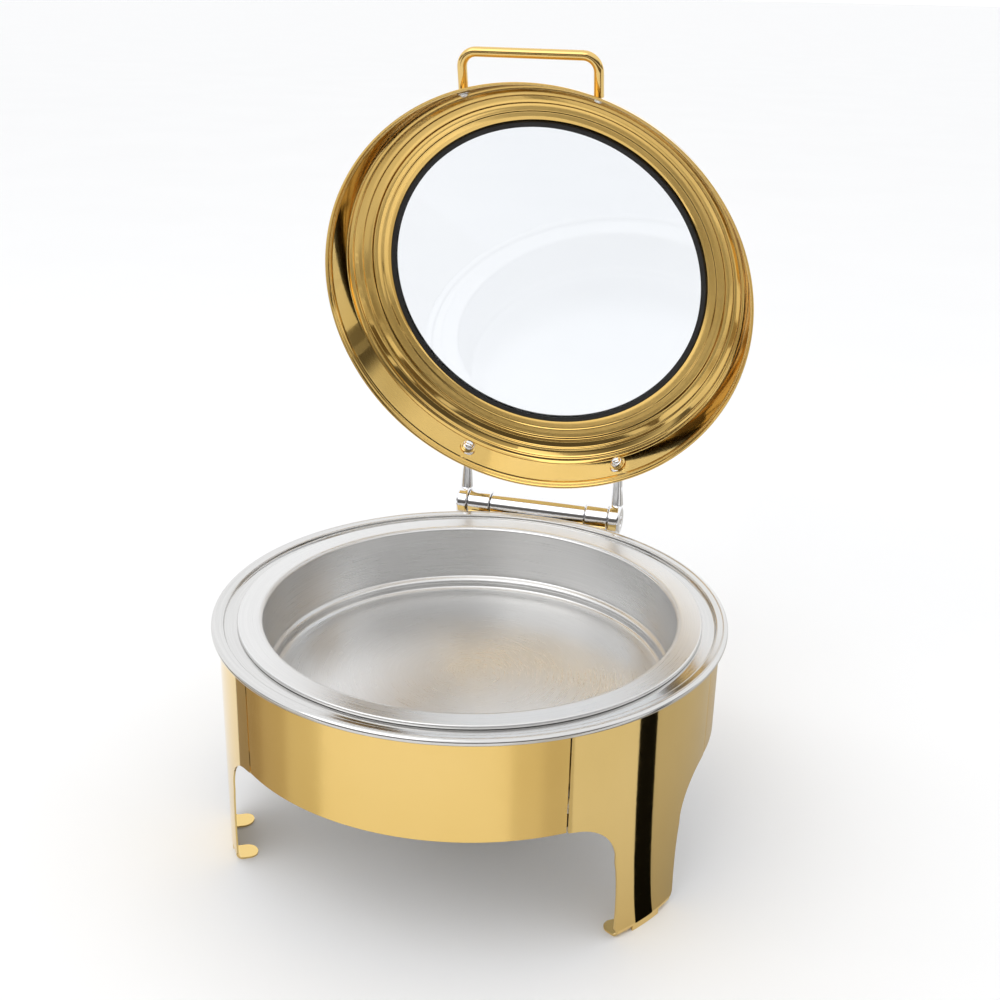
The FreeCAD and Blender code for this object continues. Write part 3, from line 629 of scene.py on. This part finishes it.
# ------------------------------------------------------------------ studio
floor_bm = bmesh.new()
bmesh.ops.create_grid(floor_bm, x_segments=2, y_segments=2, size=150.0)
floor_mesh = bpy.data.meshes.new("floor")
floor_bm.to_mesh(floor_mesh)
floor_bm.free()
floor = bpy.data.objects.new("floor", floor_mesh)
SCENE.collection.objects.link(floor)
f = Nodes("floor_paper")
f.join(f.mix(f.noise(2.0, 3.0), (0.90, 0.90, 0.90), (0.93, 0.93, 0.93)),
       f.bsdf.inputs["Base Color"])
f.join(f.ramp(f.noise(60.0, 3.0), 0.3, 0.7, 0.75, 0.85), f.bsdf.inputs["Roughness"])
f.bsdf.inputs["Specular IOR Level"].default_value = 0.15
floor_mesh.materials.append(f.material)

# The room is white above and behind the dish, darker low down on the photographer's side,
# with a dark gap at each side, as between two light tents. The dark parts only show in
# reflections; seen directly, the room is white all round.
world = bpy.data.worlds.new("studio")
SCENE.world = world
world.use_nodes = True
room = world.node_tree
VIEW_AZ = math.radians(15.721)


def room_node(kind, **values):
    node = room.nodes.new(kind)
    for key, value in values.items():
        setattr(node, key, value)
    return node


def room_math(operation, a, b):
    node = room_node("ShaderNodeMath", operation=operation)
    for socket, v in zip(node.inputs, (a, b)):
        if isinstance(v, float):
            socket.default_value = v
        else:
            room.links.new(v, socket)
    return node.outputs[0]


def room_towards(direction):
    """Cosine between the sky direction and the given one."""
    node = room_node("ShaderNodeVectorMath", operation="DOT_PRODUCT")
    room.links.new(sky.outputs["Generated"], node.inputs[0])
    node.inputs[1].default_value = direction
    return node.outputs["Value"]


def room_step(value, low, high, out_low, out_high):
    node = room_node("ShaderNodeMapRange", interpolation_type="SMOOTHSTEP")
    room.links.new(value, node.inputs["Value"])
    for key, v in (("From Min", low), ("From Max", high), ("To Min", out_low),
                   ("To Max", out_high)):
        node.inputs[key].default_value = v
    return node.outputs["Result"]


sky = room_node("ShaderNodeTexCoord")
height = room_towards((0.0, 0.0, 1.0))
ahead = room_towards((math.sin(VIEW_AZ), -math.cos(VIEW_AZ), 0.0))
aside = room_math("ABSOLUTE", room_towards((math.cos(VIEW_AZ), math.sin(VIEW_AZ), 0.0)), 0.0)
low_down = room_step(height, 0.30, 0.62, 1.0, 0.0)
near_side = room_math("MULTIPLY", room_step(ahead, 0.05, 0.60, 0.0, 0.94), low_down)
gaps = room_math("MULTIPLY", room_step(aside, 0.93, 0.975, 0.0, 0.92),
                 room_step(height, 0.40, 0.55, 1.0, 0.0))
seen_directly = room_node("ShaderNodeLightPath").outputs["Is Camera Ray"]
dark = room_math("MULTIPLY", room_math("MAXIMUM", near_side, gaps),
                 room_math("SUBTRACT", 1.0, seen_directly))
tone = room_node("ShaderNodeMix", data_type="RGBA")
room.links.new(dark, tone.inputs[0])
tone.inputs[6].default_value = (0.985, 0.99, 1.0, 1.0)
tone.inputs[7].default_value = (0.050, 0.042, 0.034, 1.0)
room.links.new(tone.outputs[2], room.nodes["Background"].inputs["Color"])
room.nodes["Background"].inputs["Strength"].default_value = 1.16


def floor_card(name, start, end, near, far, shade):
    """Card on the floor that only shows mirrored in one upright strip of the stand.

    The strip runs from angle start to angle end round the stand, counted from the side
    that faces the photographer; near and far are distances out from the stand's wall.
    """
    bm = bmesh.new()
    lines = []
    steps = 6
    for k in range(steps + 1):
        turn = math.radians(start + (end - start) * k / steps)
        wall = VIEW_AZ + turn
        out = VIEW_AZ + 2 * turn
        foot = Vector((math.sin(wall), -math.cos(wall), 0.0)) * STAND_R
        ray = Vector((math.sin(out), -math.cos(out), 0.0))
        lines.append([bm.verts.new(foot + ray * near + Vector((0, 0, 0.003))),
                      bm.verts.new(foot + ray * far + Vector((0, 0, 0.003)))])
    for one, two in zip(lines, lines[1:]):
        bm.faces.new((one[0], one[1], two[1], two[0]))
    mesh = bpy.data.meshes.new(name)
    bm.to_mesh(mesh)
    bm.free()
    obj = bpy.data.objects.new(name, mesh)
    SCENE.collection.objects.link(obj)
    paint = Nodes(name + "_paint")
    paint.join(paint.mix(paint.noise(6.0), shade, tuple(s * 0.9 for s in shade)),
               paint.bsdf.inputs["Base Color"])
    paint.bsdf.inputs["Roughness"].default_value = 0.9
    paint.bsdf.inputs["Specular IOR Level"].default_value = 0.0
    mesh.materials.append(paint.material)
    obj.visible_camera = False
    obj.visible_diffuse = False
    obj.visible_transmission = False
    obj.visible_shadow = False
    return obj


floor_card("card_far_left", -64, -52, 0.06, 0.9, (0.34, 0.28, 0.20))
floor_card("card_left", -52, -43, 0.06, 0.9, (0.50, 0.45, 0.37))
floor_card("card_near_left", -43, -33, 0.06, 0.9, (0.68, 0.65, 0.58))
floor_card("card_right", 10, 17, 0.06, 0.9, (0.74, 0.71, 0.66))
floor_card("card_far_right", 17, 24, 0.06, 0.9, (0.60, 0.57, 0.52))
floor_card("card_leg", 24, 41.0, 0.004, 0.9, (0.80, 0.79, 0.77))
floor_card("card_black", 41.0, 46.6, 0.003, 0.9, (0.006, 0.006, 0.006))
floor_card("card_side", 46.6, 84, 0.004, 0.9, (0.56, 0.54, 0.50))
floor_card("card_front", -30, 30, 1.0, 5.0, (0.16, 0.125, 0.085))


def softbox(name, place, aim, width, height, power):
    light = bpy.data.lights.new(name, "AREA")
    light.shape = "RECTANGLE"
    light.size = width
    light.size_y = height
    light.energy = power
    obj = bpy.data.objects.new(name, light)
    obj.location = place
    obj.rotation_euler = (Vector(aim) - Vector(place)).to_track_quat("-Z", "Y").to_euler()
    SCENE.collection.objects.link(obj)
    return obj


softbox("key", (-0.9, -1.5, 2.3), (0, 0, 0.2), 2.4, 2.0, 15)

# ------------------------------------------------------------------ camera
lens = bpy.data.cameras.new("camera")
lens.sensor_width = 36.0
lens.lens = 47.155
camera = bpy.data.objects.new("camera", lens)
SCENE.collection.objects.link(camera)
az = VIEW_AZ
el = math.radians(21.3456)
roll = math.radians(1.2776)
back = Vector((math.sin(az) * math.cos(el), -math.cos(az) * math.cos(el), math.sin(el)))
right = Vector((math.cos(az), math.sin(az), 0.0))
up = back.cross(right)
right_r = right * math.cos(roll) + up * math.sin(roll)
up_r = up * math.cos(roll) - right * math.sin(roll)
turn = Matrix((right_r, up_r, back)).transposed().to_4x4()
spot = Vector((0.29488, -0.96312, 0.69519))
camera.matrix_world = Matrix.Translation(spot) @ turn
SCENE.camera = camera
SCENE.view_settings.view_transform = "Standard"
